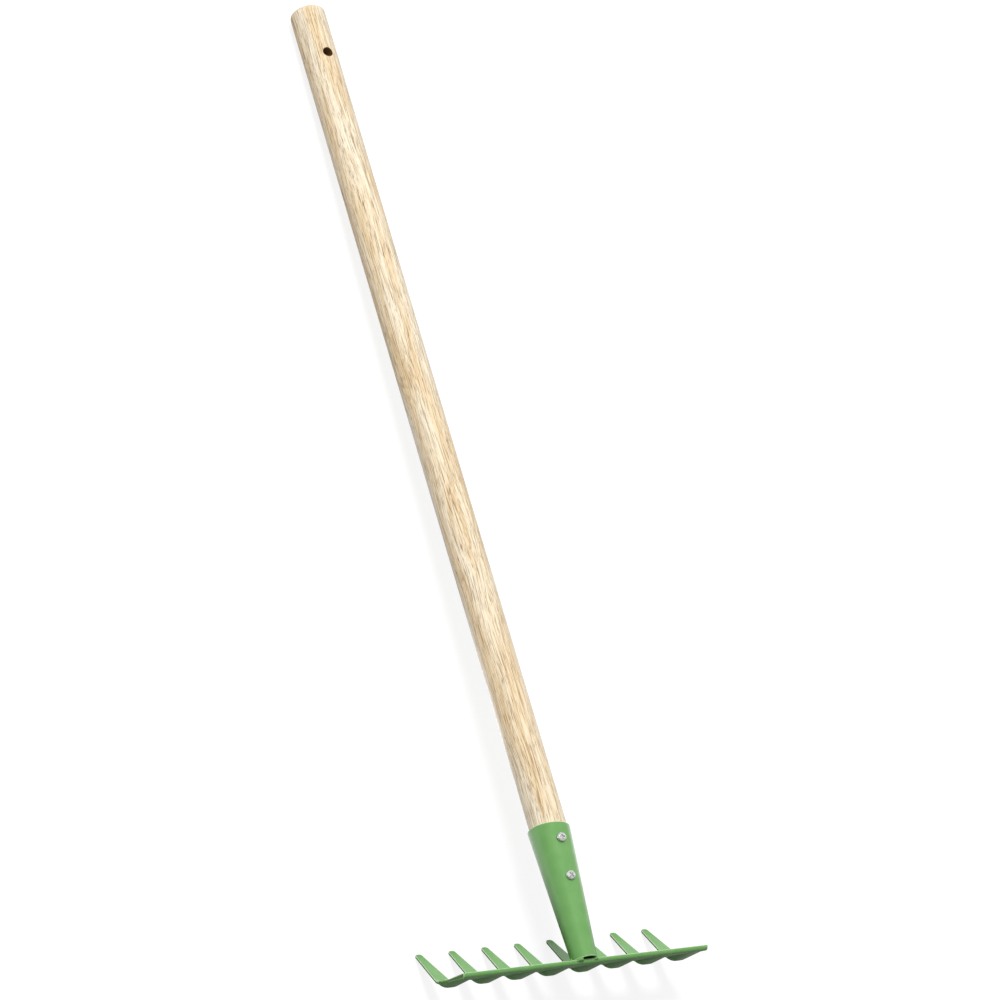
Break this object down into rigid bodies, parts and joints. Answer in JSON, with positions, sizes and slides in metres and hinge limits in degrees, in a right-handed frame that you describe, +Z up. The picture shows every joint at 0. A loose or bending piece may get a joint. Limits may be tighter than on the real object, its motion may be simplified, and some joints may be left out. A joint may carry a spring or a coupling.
{
  "type": "garden rake",
  "caption": "Short garden rake with a round ash handle screwed into a green enamelled steel socket on a pressed steel head of tapered tines.",
  "frame": {"origin": "on the floor below the middle of the rake's length, as it lies on its tine tips and grip end", "axes": "+X along the head, +Y from the head toward the grip, +Z up, on the side where the screws are"},
  "size_m": [0.1794, 0.6976, 0.068],
  "materials": {
    "ash": "sanded, clear oiled",
    "green_enamel": "gloss stoved enamel",
    "zinc": "bright zinc plating"
  },
  "bodies": {
    "root": {"handle": "ash", "socket": "green_enamel", "rake_head": "green_enamel", "socket_weld": "green_enamel", "upper_screw": "zinc", "lower_screw": "zinc"}
  },
  "joints": []
}
